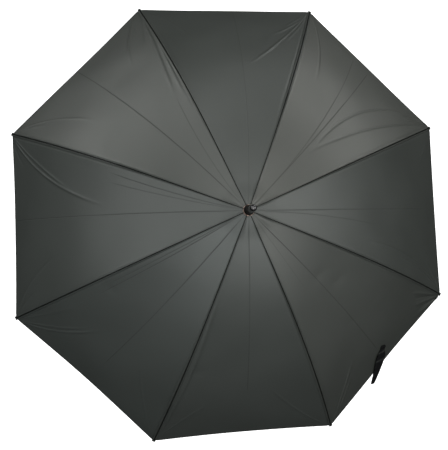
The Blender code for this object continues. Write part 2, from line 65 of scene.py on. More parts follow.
# Canopy and ribs, open, as in the CAD model but for the hem, which is 0.5 mm further out
RIBS = 8
FIRST_RIB = radians(22.5)
PITCH = 2 * pi / RIBS
HALF_PITCH = PITCH / 2
TIP_RADIUS = 0.520
CANOPY_DROP = 0.200
CONE_SHARE = 0.22
STRAIGHTENING = 0.7
NOTCH_Z = 0.660
HINGE_RADIUS = 0.0135
FLEX_RADIUS = 0.28015
FABRIC = 0.0010
FABRIC_LIFT = 0.0028
CROWN_LIFT = 0.0064
CROWN_LIFT_END = 0.018
FABRIC_LIFT_START = 0.060
CENTRE_HOLE = 0.0086
HEM_RADIUS = 0.5165
PANEL_DIP = 0.006
CLOTH_STRETCH = 1.12  # length along the cloth for each metre of rib radius
CROWN_Z = NOTCH_Z + CROWN_LIFT + FABRIC + 0.0005

# How far the hem of each gore bows in between the ribs, rounded from a script's measurements
SCALLOPS = {1: 0.0025, 2: 0.0015, 3: 0.0015, 4: 0.0045, 5: 0.0055, 6: 0.0060, 7: 0.0040, 8: 0.0025}

# Tie strap: its gore, and the share across and rib radius of its two ends. It starts from the CAD
# model's, which a script worked out, and its free end is 7 mm longer.
STRAP_GORE = 7
STRAP_ROOT = (0.534, 0.466)
STRAP_END = (0.345, 0.537)

# Handle, as in the CAD model
GRIP_TOP = 0.060
GRIP_BOTTOM = -0.062
CROOK_RADIUS = 0.046
CROOK_BEND = radians(190)
GRIP_RADIUS = 0.0118
CROOK_END_RADIUS = 0.0092
COLLAR_HEIGHT = 0.014
SHAFT_BORE = 0.0063
GAP = 0.0003

# Cloth grid of one half panel
COLUMNS = 96
INNER_ROWS = 64
OUTER_ROWS = 130


# ---------------------------------------------------------------- camera and light

def aim(obj, position, direction, up):
    """Places obj at position, looking along direction with up upwards."""
    back = -Vector(direction).normalized()
    right = Vector(up).cross(back).normalized()
    turn = Matrix((right, back.cross(right), back)).transposed()
    obj.matrix_world = Matrix.Translation(position) @ turn.to_4x4()


def add_camera():
    """The lens and placing are a least-squares solution from the eight rib lines, not set by hand."""
    data = bpy.data.cameras.new("camera")
    data.sensor_fit = "VERTICAL"
    data.sensor_height = 36
    data.lens = 33.83
    camera = bpy.data.objects.new("camera", data)
    bpy.context.scene.collection.objects.link(camera)
    aim(camera, (-0.1196, -0.0560, 1.4149), (0.0989, 0.0419, -0.9942), (0.0371, 0.9983, 0.0457))
    bpy.context.scene.camera = camera


def soft_light(name, azimuth_deg, elevation_deg, power):
    """A square area light round the middle of the canopy, facing it."""
    data = bpy.data.lights.new(name, "AREA")
    data.shape = "SQUARE"
    data.size = LAMP_SIZE
    data.energy = power
    light = bpy.data.objects.new(name, data)
    bpy.context.scene.collection.objects.link(light)
    bearing, height = radians(azimuth_deg), radians(elevation_deg)
    away = Vector((cos(bearing) * cos(height), sin(bearing) * cos(height), sin(height)))
    aim(light, Vector((0, 0, LAMP_TARGET_Z)) + LAMP_DISTANCE * away, -away, (0, 1, 0.01))


LAMP_DISTANCE = 2.4
LAMP_SIZE = 0.9
LAMP_TARGET_Z = 0.6

# Softboxes: bearing and elevation in degrees, and watts. These lamps and watts are the output of a
# least-squares solver that matched the photograph's brightness; ten watts were then raised a little.
# They are not an example of how to light a scene.
SOFTBOXES = (
    (0, 40, 5.3),
    (0, 58, 19.2),
    (45, 18, 11.8),
    (45, 58, 1.1),
    (68, 26, 10.5),
    (90, 74, 10.0),
    (135, 18, 12.6),
    (135, 38, 7.0),
    (135, 58, 2.2),
    (180, 40, 8.6),
    (180, 58, 7.8),
    (225, 20, 1.0),
    (225, 58, 2.7),
    (270, 20, 1.4),
    (270, 74, 20.4),
    (315, 20, 2.0),
)


def add_lights():
    for bearing, elevation, watts in SOFTBOXES:
        soft_light(f"softbox_{bearing}_{elevation}", bearing, elevation, watts)


def add_world():
    """White to the eye, and a weak even fill."""
    world = bpy.data.worlds.new("studio")
    bpy.context.scene.world = world
    world.use_nodes = True
    tree = world.node_tree
    tree.nodes.clear()
    output = tree.nodes.new("ShaderNodeOutputWorld")
    mix = tree.nodes.new("ShaderNodeMixShader")
    seen = tree.nodes.new("ShaderNodeBackground")
    fill = tree.nodes.new("ShaderNodeBackground")
    path = tree.nodes.new("ShaderNodeLightPath")
    seen.inputs["Strength"].default_value = 1.0
    seen.inputs["Color"].default_value = (1, 1, 1, 1)
    fill.inputs["Strength"].default_value = 0.03
    fill.inputs["Color"].default_value = (1, 1, 1, 1)
    tree.links.new(path.outputs["Is Camera Ray"], mix.inputs[0])
    tree.links.new(fill.outputs[0], mix.inputs[1])
    tree.links.new(seen.outputs[0], mix.inputs[2])
    tree.links.new(mix.outputs[0], output.inputs["Surface"])


def add_floor():
    """A pale lit floor, well below the handle."""
    size, depth = 12, cad_box[0].z - 0.35
    corners = [(-size, -size, depth), (size, -size, depth), (size, size, depth), (-size, size, depth)]
    mesh = bpy.data.meshes.new("floor")
    mesh.from_pydata(corners, [], [(0, 1, 2, 3)])
    floor = bpy.data.objects.new("floor", mesh)
    bpy.context.scene.collection.objects.link(floor)
    mesh.materials.append(plain("floor_white", (0.9, 0.9, 0.9), 0.8, emission=1.0))
    floor.visible_glossy = False
    floor.visible_diffuse = False


# ---------------------------------------------------------------- node helpers

class Nodes:
    """Builds one material's nodes."""

    def __init__(self, name):
        self.material = bpy.data.materials.new(name)
        self.material.use_nodes = True
        self.tree = self.material.node_tree
        self.shader = self.tree.nodes["Principled BSDF"]
        self.normal = None

    def new(self, kind, **settings):
        node = self.tree.nodes.new(kind)
        for key, value in settings.items():
            setattr(node, key, value)
        return node

    def feed(self, socket, value):
        """Links an output to the socket, or sets the number or colour on it."""
        if isinstance(value, bpy.types.NodeSocket):
            self.tree.links.new(value, socket)
        else:
            socket.default_value = value

    def math(self, operation, *values):
        node = self.new("ShaderNodeMath", operation=operation)
        for socket, value in zip(node.inputs, values):
            self.feed(socket, value)
        return node.outputs[0]

    def ramp(self, value, low, high, out_low=0.0, out_high=1.0):
        """A smooth step of value from low to high."""
        node = self.new("ShaderNodeMapRange", interpolation_type="SMOOTHSTEP")
        for socket, given in zip(node.inputs, (value, low, high, out_low, out_high)):
            self.feed(socket, given)
        return node.outputs[0]

    def mix(self, share, first, second):
        node = self.new("ShaderNodeMix", data_type="RGBA")
        colours = [socket for socket in node.inputs if socket.type == "RGBA"]
        self.feed(node.inputs[0], share)
        self.feed(colours[0], first)
        self.feed(colours[1], second)
        return node.outputs[2]

    def scaled(self, vector, scale):
        node = self.new("ShaderNodeMapping")
        self.feed(node.inputs["Vector"], vector)
        self.feed(node.inputs["Scale"], scale)
        return node.outputs[0]

    def noise(self, vector, scale, detail=3.0, roughness=0.5):
        node = self.new("ShaderNodeTexNoise")
        self.feed(node.inputs["Vector"], vector)
        self.feed(node.inputs["Scale"], scale)
        self.feed(node.inputs["Detail"], detail)
        self.feed(node.inputs["Roughness"], roughness)
        return node.outputs["Fac"]

    def place(self):
        return self.new("ShaderNodeTexCoord").outputs["Object"]

    def attribute(self, name):
        return self.new("ShaderNodeAttribute", attribute_name=name).outputs["Fac"]

    def set(self, **values):
        for key, value in values.items():
            self.feed(self.shader.inputs[key.replace("_", " ")], value)

    def bump(self, height, strength, distance):
        """Adds relief on top of any relief added before."""
        node = self.new("ShaderNodeBump")
        self.feed(node.inputs["Height"], height)
        self.feed(node.inputs["Strength"], strength)
        self.feed(node.inputs["Distance"], distance)
        if self.normal is not None:
            self.tree.links.new(self.normal, node.inputs["Normal"])
        self.normal = node.outputs[0]
        self.tree.links.new(self.normal, self.shader.inputs["Normal"])


def rgba(colour, factor=1.0):
    return (colour[0] * factor, colour[1] * factor, colour[2] * factor, 1)


def plain(name, colour, roughness, emission):
    """One even colour that also glows white."""
    build = Nodes(name)
    build.set(Base_Color=rgba(colour), Roughness=roughness)
    build.shader.inputs["Emission Color"].default_value = (1, 1, 1, 1)
    build.shader.inputs["Emission Strength"].default_value = emission
    return build.material


def weave(build, uv, thread):
    """Plain weave of a thread pitch in metres: 1 on top of a thread, 0 between them."""
    split = build.new("ShaderNodeSeparateXYZ")
    build.feed(split.inputs[0], uv)
    waves = []
    for axis in (0, 1):
        waves.append(build.math("SINE", build.math("MULTIPLY", split.outputs[axis], pi / thread)))
    over = build.math("MULTIPLY", waves[0], waves[1])
    return build.math("ADD", build.math("MULTIPLY", over, 0.5), 0.5)


# ---------------------------------------------------------------- materials

CANOPY_COLOUR = (0.0225, 0.0258, 0.0230)
SHEEN_COLOUR = np.array((0.97, 1.0, 0.965))
WEAVE_THREAD = 0.0007
CREASE_WIDTH = 0.0012
STITCH_LENGTH = 0.0042
HEM_STITCH = 0.0065

# Pressed fold lines that run out from the crown: share across the gore at the crown and at the hem,
# strength, and the radius where the line ends. The shares and radii were chosen out of
# positions that a script worked out.
# Each line is drawn darker in the cloth's colour as painted shade, and also gets bump and roughness
CREASES = {
    1: ((0.45, 0.63, 0.7, 0.50), (0.47, 0.50, 0.9, 0.50)),
    2: ((0.40, 0.465, 0.4, 0.52),),
    3: ((0.445, 0.505, 1.0, 0.53), (0.33, -0.05, 0.5, 0.27)),
    4: ((0.47, 0.477, 0.8, 0.53), (0.22, -0.02, 0.7, 0.28), (0.28, 0.10, 0.5, 0.28)),
    5: ((0.56, 0.50, 1.0, 0.45), (0.17, 0.07, 0.9, 0.33), (0.11, 0.04, 0.7, 0.30)),
    6: ((0.50, 0.498, 0.7, 0.40),),
    7: ((0.50, 0.485, 0.9, 0.47), (0.30, 0.30, 0.3, 0.20)),
    8: ((0.48, 0.51, 0.7, 0.46), (0.44, 0.30, 0.5, 0.30)),
}
# Painted light: each gore is made a little brighter or darker and warmer or cooler, for how differently the
# gores catch the lamps and their sheen: brightness, and warmth
GORE_PAINTED_LIGHT = {
    1: (1.05, 0.025),
    2: (0.98, 0.0),
    3: (1.05, 0.01),
    4: (0.95, -0.01),
    5: (0.97, -0.02),
    6: (0.97, -0.01),
    7: (0.98, 0.01),
    8: (0.95, 0.0),
}


def canopy_fabric(number):
    """Dark woven polyester: weave, crease lines darkened with painted shade, painted shade beside the seams
    and along the hem edge, a stitched hem, and a painted brightness and warmth for each gore.
    """
    build = Nodes(f"canopy_fabric_{number}")
    # Each gore's copy of this material gets its own painted light: a brightness and a warmth
    painted_brightness, painted_warmth = GORE_PAINTED_LIGHT[number]
    base = np.array(CANOPY_COLOUR) * painted_brightness * (1 + painted_warmth * np.array((1, 0, -1)))
    uv = build.new("ShaderNodeUVMap", uv_map="cloth").outputs[0]
    across = build.attribute("across")
    radius = build.attribute("radius")
    from_hem = build.attribute("from_hem")
    from_rib = build.attribute("from_rib")

    cloud = build.noise(uv, 9.0, 3.0)
    grain = build.noise(uv, 900.0, 2.0)
    colour = build.mix(build.ramp(cloud, 0.3, 0.7), rgba(base, 0.95), rgba(base, 1.05))
    colour = build.mix(build.ramp(grain, 0.3, 0.7, 0.0, 0.16), colour, rgba(base, 1.6))
    line = None
    for at_crown, at_hem, strength, end in CREASES[number]:
        share = build.math("MULTIPLY_ADD", radius, (at_hem - at_crown) / HEM_RADIUS, at_crown)
        gap = build.math("ABSOLUTE", build.math("SUBTRACT", across, share))
        gap = build.math("MULTIPLY", build.math("MULTIPLY", gap, radius), 2 * sin(HALF_PITCH))
        mark = build.ramp(gap, CREASE_WIDTH * 0.4, CREASE_WIDTH, strength, 0.0)
        mark = build.math("MULTIPLY", mark, build.ramp(radius, end, end - 0.03))
        mark = build.math("MULTIPLY", mark, build.ramp(radius, 0.01, 0.08, 0.4, 1.0))
        line = mark if line is None else build.math("MAXIMUM", line, mark)
    # Painted shade in each crease line: the colour darkens towards a tenth of the base
    colour = build.mix(build.math("MULTIPLY", line, 0.7), colour, rgba(base, 0.1))
    # Painted shade beside each rib, where the cloth dips along the seam
    seam = build.ramp(from_rib, 0.0018, 0.0050, 0.30, 0.0)
    colour = build.mix(seam, colour, rgba(base, 0.35))
    # Painted shade along the hem, where the cloth turns under at its edge
    edge = build.ramp(from_hem, 0.0006, 0.0022, 0.6, 0.0)
    colour = build.mix(edge, colour, rgba(base, 0.3))

    split = build.new("ShaderNodeSeparateXYZ")
    build.feed(split.inputs[0], uv)
    row = build.math("ABSOLUTE", build.math("SUBTRACT", from_hem, HEM_STITCH))
    dash = build.math("SINE", build.math("MULTIPLY", split.outputs[0], 2 * pi / STITCH_LENGTH))
    stitch = build.math("MULTIPLY", build.ramp(row, 0.0002, 0.0005, 1.0, 0.0), build.ramp(dash, -0.5, -0.2))
    colour = build.mix(build.math("MULTIPLY", stitch, 0.4), colour, rgba(base, 0.4))

    nap = build.ramp(build.noise(uv, 420.0, 2.0), 0.3, 0.7, -0.02, 0.02)
    rough = build.math("ADD", nap, build.ramp(cloud, 0.3, 0.7, 0.47, 0.50))
    rough = build.math("MULTIPLY_ADD", line, 0.2, rough)
    # The gore's painted brightness and warmth also scale the tint of its highlights
    tint = 1 + painted_warmth * np.array((1, -0.2, -1))
    build.set(Base_Color=colour, Roughness=rough, Specular_IOR_Level=0.7)
    build.set(Specular_Tint=rgba(SHEEN_COLOUR * tint * painted_brightness / 1.04))
    cloth = weave(build, uv, WEAVE_THREAD)
    height = build.math("SUBTRACT", build.math("MULTIPLY", cloth, 0.25), build.math("MULTIPLY", stitch, 0.5))
    build.bump(height, 0.35, 0.0004)
    build.bump(build.math("MULTIPLY", line, -1.0), 0.35, 0.0008)
    return build.material


def seam_thread_and_shade():
    """The seam's valley: dark thread with painted shade in the groove, and its lock stitches."""
    build = Nodes("seam_thread_and_shade")
    uv = build.new("ShaderNodeUVMap", uv_map="cloth").outputs[0]
    split = build.new("ShaderNodeSeparateXYZ")
    build.feed(split.inputs[0], uv)
    dash = build.math("SINE", build.math("MULTIPLY", split.outputs[1], 2 * pi / STITCH_LENGTH))
    stitched = build.ramp(dash, 0.5, 0.9, 0.0, 0.5)
    colour = build.mix(stitched, rgba((0.004, 0.0045, 0.004)), rgba((0.014, 0.016, 0.014)))
    build.set(Base_Color=colour, Roughness=0.9, Specular_IOR_Level=0.05)
    build.bump(dash, 0.4, 0.0003)
    return build.material


def strap_webbing():
    """Black ribbed webbing, with a painted highlight where it is folded over itself."""
    build = Nodes("strap_webbing")
    uv = build.new("ShaderNodeUVMap", uv_map="cloth").outputs[0]
    grain = build.noise(uv, 700.0, 3.0)
    fold = build.noise(build.scaled(uv, (60, 160, 1)), 1.0, 2.0)
    yarn = build.ramp(grain, 0.3, 0.7)
    colour = build.mix(yarn, rgba((0.003, 0.003, 0.0035)), rgba((0.008, 0.0085, 0.0085)))
    colour = build.mix(build.ramp(fold, 0.5, 0.75, 0.0, 0.12), colour, rgba((0.035, 0.037, 0.036)))
    # Painted highlight on the folded edges of the webbing
    colour = build.mix(build.attribute("strap_fold_highlight"), colour, rgba((0.030, 0.032, 0.030)))
    build.set(Base_Color=colour, Roughness=0.85, Specular_IOR_Level=0.05)
    build.bump(weave(build, uv, 0.0009), 0.6, 0.0004)
    return build.material


def plated(name, colour, roughness):
    """Plated metal with fine brushing and a few dull patches."""
    build = Nodes(name)
    place = build.place()
    patches = build.noise(place, 90.0, 4.0)
    brushing = build.noise(build.scaled(place, (300, 300, 4000)), 1.0, 2.0)
    tone = build.mix(build.ramp(patches, 0.35, 0.7), rgba(colour, 0.85), rgba(colour, 1.08))
    rough = build.math("ADD", build.ramp(patches, 0.3, 0.75, roughness, roughness + 0.14),
                       build.math("MULTIPLY", brushing, 0.05))
    build.set(Base_Color=tone, Metallic=1.0, Roughness=rough)
    build.bump(brushing, 0.12, 0.0002)
    return build.material


def enamel(name, colour, roughness, metallic):
    """Painted or lacquered steel, worn thin in small flecks."""
    build = Nodes(name)
    place = build.place()
    peel = build.noise(place, 700.0, 2.0)
    flecks = build.noise(place, 260.0, 6.0, 0.7)
    tone = build.mix(build.ramp(flecks, 0.66, 0.72, 0.0, 0.6), rgba(colour), rgba((0.2, 0.2, 0.2)))
    rough = build.ramp(flecks, 0.3, 0.7, roughness - 0.05, roughness + 0.1)
    build.set(Base_Color=tone, Roughness=rough, Metallic=metallic)
    build.bump(peel, 0.10, 0.0003)
    return build.material


def moulded(name, colour, roughness, strength=0.25, sheen=0.5):
    """Moulded plastic with a fine spark-eroded grain."""
    build = Nodes(name)
    place = build.place()
    fine = build.noise(place, 1400.0, 2.0)
    broad = build.noise(place, 60.0, 3.0)
    tone = build.mix(build.ramp(broad, 0.3, 0.7), rgba(colour, 0.85), rgba(colour, 1.2))
    build.set(Base_Color=tone, Roughness=build.ramp(broad, 0.3, 0.7, roughness - 0.04, roughness + 0.06),
              Specular_IOR_Level=sheen)
    build.bump(fine, strength, 0.0002)
    return build.material


def fibre_rod():
    """Black glass fibre: glossy with streaks along the rod."""
    build = Nodes("fibre_rod")
    place = build.place()
    streaks = build.noise(build.scaled(place, (400, 400, 400)), 1.0, 4.0)
    tone = build.mix(build.ramp(streaks, 0.4, 0.7), rgba((0.012, 0.012, 0.012)), rgba((0.03, 0.03, 0.032)))
    build.set(Base_Color=tone, Roughness=build.ramp(streaks, 0.3, 0.7, 0.34, 0.5))
    build.bump(streaks, 0.2, 0.0002)
    return build.material


def lacquered_wood():
    """Dark bent wood under clear gloss lacquer."""
    build = Nodes("lacquered_wood")
    uv = build.new("ShaderNodeUVMap", uv_map="cloth").outputs[0]
    wave = build.noise(build.scaled(uv, (140, 9, 1)), 1.0, 5.0, 0.6)
    pores = build.noise(build.scaled(uv, (2200, 90, 1)), 1.0, 2.0)
    tone = build.mix(build.ramp(wave, 0.32, 0.68), rgba((0.016, 0.008, 0.005)), rgba((0.075, 0.036, 0.019)))
    tone = build.mix(build.ramp(pores, 0.60, 0.75, 0.0, 0.6), tone, rgba((0.008, 0.004, 0.003)))
    build.set(Base_Color=tone, Roughness=build.ramp(wave, 0.3, 0.7, 0.36, 0.46))
    build.set(Coat_Weight=0.9, Coat_Roughness=0.08)
    build.bump(pores, 0.08, 0.0002)
    return build.material


# ---------------------------------------------------------------- canopy shape

def rib_drop(radius):
    """How far the open rib's axis lies below the notch pivots."""

    def below_crown(at):
        share = at / TIP_RADIUS
        bend = share**3 * (1 + STRAIGHTENING * (1 - share))
        return CANOPY_DROP * (CONE_SHARE * share + (1 - CONE_SHARE) * bend)

    return below_crown(radius) - below_crown(HINGE_RADIUS)


def rib_slope(radius):
    """Angle of the open rib below the horizontal."""
    share = radius / TIP_RADIUS
    bend = share**2 * (3 + STRAIGHTENING * (3 - 4 * share))
    return np.arctan(CANOPY_DROP / TIP_RADIUS * (CONE_SHARE + (1 - CONE_SHARE) * bend))


def smooth(value, low, high):
    """0 below low, 1 above high, eased between; low may be the greater."""
    share = np.clip((value - low) / (high - low), 0, 1)
    return share * share * (3 - 2 * share)


def canopy_lift(radius):
    """Height of the fabric above the rib's axis: more over the notch."""
    return CROWN_LIFT + (FABRIC_LIFT - CROWN_LIFT) * smooth(radius, CROWN_LIFT_END, FABRIC_LIFT_START)


def azimuth(number):
    return FIRST_RIB + (number - 1) * PITCH


def gore_point(number, across, radius, lift):
    """Points of the gore between rib number and the next, lifted square to the cloth."""
    first, second = azimuth(number), azimuth(number + 1)
    middle = (first + second) / 2
    slope = rib_slope(radius)
    dip = PANEL_DIP * 4 * across * (1 - across) * np.sin(pi * np.minimum(1, radius / TIP_RADIUS)) ** 2
    out = canopy_lift(radius) + FABRIC / 2 + lift - dip
    x = radius * ((1 - across) * cos(first) + across * cos(second)) + out * np.sin(slope) * cos(middle)
    y = radius * ((1 - across) * sin(first) + across * sin(second)) + out * np.sin(slope) * sin(middle)
    return np.stack([x, y, NOTCH_Z - rib_drop(radius) + out * np.cos(slope)], axis=-1)


def hem_radius(number, across):
    return HEM_RADIUS - SCALLOPS[number] * 4 * across * (1 - across)


# Tension folds that fan out from the rib tips, seen from above. Each is an arc: its rib, the side
# it runs to, the angle it leaves the rib at and how far it turns (degrees), then length, height
# and half width in millimetres. A height below 0 is a groove. The angles and lengths of 24 rows are
# a script's least-squares fit, with the lengths made 2 to 15 mm longer; the rest is given.
FOLDS = (
    (3, 1, 44, -37, 175, 0.80, 2.2),
    (3, 1, 5, 2, 270, 1.10, 2.6),
    (3, 1, 1, 3, 275, 0.90, 2.4),
    (3, 1, 8, 12, 120, -0.60, 2.6),
    (3, 1, 30, -10, 90, -0.50, 2.6),
    (3, -1, 39, -29, 160, 0.35, 2.2),
    (4, -1, 40, -38, 210, 0.45, 2.2),
    (4, -1, 30, -10, 90, 0.40, 2.2),
    (4, 1, 37, -42, 290, 1.00, 2.4),
    (4, 1, 28, -14, 210, 0.70, 2.2),
    (4, 1, 52, -20, 90, -0.50, 2.6),
    (5, -1, 44, -35, 185, 0.50, 2.2),
    (5, -1, 27, -9, 85, 0.50, 2.2),
    (5, 1, 44, -33, 205, 0.80, 2.2),
    (5, 1, 35, -15, 175, 0.70, 2.2),
    (5, 1, 14, -6, 160, 0.40, 2.4),
    (6, -1, 33, -14, 205, 0.50, 2.2),
    (6, 1, 20, 18, 165, 0.50, 2.2),
    (6, 1, 7, -14, 390, 1.00, 4.0),
    (7, -1, 36, -17, 215, 0.60, 2.2),
    (7, 1, 34, -1, 175, 0.90, 2.2),
    (7, 1, 42, -8, 130, 0.60, 2.2),
    (8, -1, 11, 4, 115, 1.40, 2.8),
    (8, -1, 18, 6, 105, -1.30, 2.8),
    (8, -1, 27, 8, 95, 1.50, 2.8),
    (8, -1, 38, 8, 85, -1.30, 2.8),
    (8, -1, 47, 8, 85, 1.30, 2.6),
    (8, 1, 27, -43, 300, 0.60, 2.4),
    (8, 1, 22, -25, 195, 0.60, 2.2),
    (8, 1, 40, -20, 110, 0.90, 2.2),
    (8, 1, 33, -12, 90, -0.70, 2.2),
    (1, -1, 40, -16, 110, 0.50, 2.2),
    (1, 1, 46, -80, 410, 0.80, 2.4),
    (1, 1, 20, -24, 390, 0.80, 2.4),
    (1, 1, 50, -20, 90, 0.90, 2.2),
    (1, 1, 42, -20, 100, -1.00, 2.6),
    (1, 1, 34, -15, 95, 1.00, 2.4),
    (1, 1, 27, -8, 90, -0.80, 2.4),
    (2, -1, 27, -28, 225, 0.90, 2.2),
    (2, -1, 50, 10, 140, 0.40, 2.2),
    (2, 1, 12, 20, 255, 0.80, 2.4),
    (2, 1, 12, 31, 145, 0.80, 2.2),
    (2, 1, 6, 17, 150, 0.60, 2.2),
    (2, 1, 22, 10, 110, 0.60, 2.2),
)
# Soft dents inside the gores: gore, share across, radius, and size in metres, then depth
DENTS = (
    (7, 0.55, 0.20, 0.016, 0.0006),
    (7, 0.66, 0.24, 0.020, 0.0007),
    (7, 0.48, 0.34, 0.014, 0.0005),
    (7, 0.72, 0.36, 0.022, -0.0006),
    (5, 0.12, 0.30, 0.015, 0.0006),
    (6, 0.10, 0.33, 0.018, 0.0008),
    (3, 0.30, 0.40, 0.040, 0.0010),
    (2, 0.70, 0.42, 0.045, -0.0010),
)


def fold_height(fold, from_rib, radius):
    """Height of one tension fold at points given by their share of the gore from the fold's rib."""
    bearing, bend = radians(fold[2]), radians(fold[3])
    length, height, width = (value / 1000 for value in fold[4:])
    inward = TIP_RADIUS - radius * ((1 - from_rib) + from_rib * cos(PITCH))
    beside = radius * from_rib * sin(PITCH)
    turn_radius = length / bend
    sign = np.sign(turn_radius)
    to_x = inward + turn_radius * sin(bearing)
    to_y = beside - turn_radius * cos(bearing)
    heading = np.arctan2(sign * to_x, -sign * to_y)
    along = (heading - bearing) * turn_radius / length
    offset = np.hypot(to_x, to_y) - abs(turn_radius)
    spread = width * (0.6 + 0.8 * np.clip(along, 0, 1))
    crest = np.exp(-((offset / spread) ** 2))
    return height * crest * smooth(along, 0.02, 0.15) * smooth(along, 1.0, 0.75)


def wrinkles(number, across, radius):
    """Everything that lifts the cloth off its smooth shape."""
    chord = 2 * radius * sin(HALF_PITCH)
    near = np.minimum(across, 1 - across) * chord
    total = np.zeros_like(radius)
    for fold in FOLDS:
        rib, side = fold[:2]
        if side > 0 and rib == number:
            total += fold_height(fold, across, radius)
        if side < 0 and rib == number % RIBS + 1:
            total += fold_height(fold, 1 - across, radius)
    for gore, share, at, size, depth in DENTS:
        if gore == number:
            away = np.hypot((across - share) * chord, (radius - at) * 1.6)
            total -= depth * np.exp(-((away / size) ** 2))
    total *= smooth(near, 0.0005, 0.0035)
    outward = smooth(radius, 0.10, 0.36)
    total -= 0.0005 * outward * np.exp(-(((near - 0.0052) / 0.0026) ** 2))
    total += 0.0005 * smooth(near, 0.004, 0.0)
    puckers = np.sin(2 * pi * 3 * across + number) * smooth(near, 0.0, 0.004)
    total += 0.00018 * puckers * smooth(radius, 0.085, 0.022) * smooth(radius, 0.012, 0.020)
    total -= 0.0002 * smooth(radius, 0.028, 0.031)
    slow = np.sin(41 * radius + 1.7 * number) * np.sin(pi * across * 2 + number)
    total += 0.0007 * slow * 4 * across * (1 - across) * outward
    return total


def cloth_point(number, across, radius):
    return gore_point(number, across, radius, wrinkles(number, across, radius))


def cloth_normal(number, across, radius):
    """Unit normals of the wrinkled cloth, facing out."""
    step_a, step_r = 1e-3, 3e-4
    side = cloth_point(number, across + step_a, radius) - cloth_point(number, across - step_a, radius)
    out = cloth_point(number, across, radius + step_r) - cloth_point(number, across, radius - step_r)
    normal = np.cross(out, side)
    return normal / np.linalg.norm(normal, axis=-1, keepdims=True)


# ---------------------------------------------------------------- mesh helpers

TURNED_SHARP = 50


def grid_faces(rows, columns, closed=False):
    """Quads of a grid of (rows + 1) by (columns + 1) points, or of a tube that closes across."""
    width = columns if closed else columns + 1
    faces = []
    for row in range(rows):
        for column in range(columns):
            here = row * width + column
            beside = row * width + (column + 1) % width
            faces.append((here, beside, beside + width, here + width))
    return faces


def add_mesh(name, points, faces, materials, uv=None, sharp=None):
    """A smooth-shaded object in the row frame."""
    mesh = bpy.data.meshes.new(name)
    mesh.from_pydata([tuple(point) for point in points], [], faces)
    for material in materials:
        mesh.materials.append(material)
    mesh.shade_smooth()
    if sharp is not None:
        mesh.set_sharp_from_angle(angle=radians(sharp))
    if uv is not None:
        layer = mesh.uv_layers.new(name="cloth")
        index = np.zeros(len(mesh.loops), np.int32)
        mesh.loops.foreach_get("vertex_index", index)
        layer.data.foreach_set("uv", np.asarray(uv, np.float32)[index].ravel())
    obj = bpy.data.objects.new(name, mesh)
    bpy.context.scene.collection.objects.link(obj)
    return obj


def store(mesh, name, values):
    """Keeps one number for each point, for the materials to read."""
    layer = mesh.attributes.new(name, "FLOAT", "POINT")
    layer.data.foreach_set("value", np.asarray(values, np.float32).ravel())


def turned(name, outline, materials, segments):
    """A closed outline of (radius, height) points turned about the shaft's axis."""
    turns = np.linspace(0, 2 * pi, segments, endpoint=False)
    points = [(radius * cos(a), radius * sin(a), height) for radius, height in outline for a in turns]
    faces = []
    rows = len(outline)
    for row in range(rows):
        below = (row + 1) % rows
        if outline[row][0] == 0 and outline[below][0] == 0:
            continue
        for column in range(segments):
            beside = (column + 1) % segments
            faces.append((row * segments + column, row * segments + beside,
                          below * segments + beside, below * segments + column))
    uv = [(a / (2 * pi) * 0.05, height) for radius, height in outline for a in turns]
    obj = add_mesh(name, points, faces, materials, uv)
    clean(obj.data)
    obj.data.set_sharp_from_angle(angle=radians(TURNED_SHARP))
    return obj


def clean(mesh):
    """Merges doubled points, drops empty faces and turns the rest outward."""
    shape = bmesh.new()
    shape.from_mesh(mesh)
    bmesh.ops.remove_doubles(shape, verts=shape.verts, dist=1e-6)
    bmesh.ops.dissolve_degenerate(shape, edges=shape.edges, dist=1e-7)
    bmesh.ops.recalc_face_normals(shape, faces=shape.faces)
    shape.to_mesh(mesh)
    shape.free()


def rounded(outline, radius, steps=4):
    """The outline with each corner replaced by a short arc-like curve."""
    result = []
    count = len(outline)
    for index, corner in enumerate(outline):
        corner = np.array(corner, float)
        before = np.array(outline[index - 1], float)
        after = np.array(outline[(index + 1) % count], float)
        if corner[0] == 0:
            result.append(tuple(corner))
            continue
        reach = [min(radius, 0.45 * np.linalg.norm(other - corner)) for other in (before, after)]
        start = corner + (before - corner) / np.linalg.norm(before - corner) * reach[0]
        end = corner + (after - corner) / np.linalg.norm(after - corner) * reach[1]
        for step in range(steps + 1):
            t = step / steps
            result.append(tuple((1 - t) ** 2 * start + 2 * t * (1 - t) * corner + t * t * end))
    return result


# ---------------------------------------------------------------- canopy pieces

# The turned hem, from the cloth's edge back underneath: (reach, lift)
HEM_TURN = ((0.0004, -0.0004), (0.0001, -0.0010), (-0.0030, -0.0011), (-0.0075, -0.0010))


def chord_frame(rib, start, end):
    """A rib part's own directions: along its chord, round the shaft, and out of the cloth."""
    bearing = azimuth(rib)
    outward = Vector((cos(bearing), sin(bearing), 0))
    round_shaft = Vector((-sin(bearing), cos(bearing), 0))
    ends = []
    for radius in (start, end):
        ends.append(radius * outward + Vector((0, 0, NOTCH_Z - float(rib_drop(radius)))))
    along = (ends[1] - ends[0]).normalized()
    return ends, along, round_shaft, round_shaft.cross(along) * -1


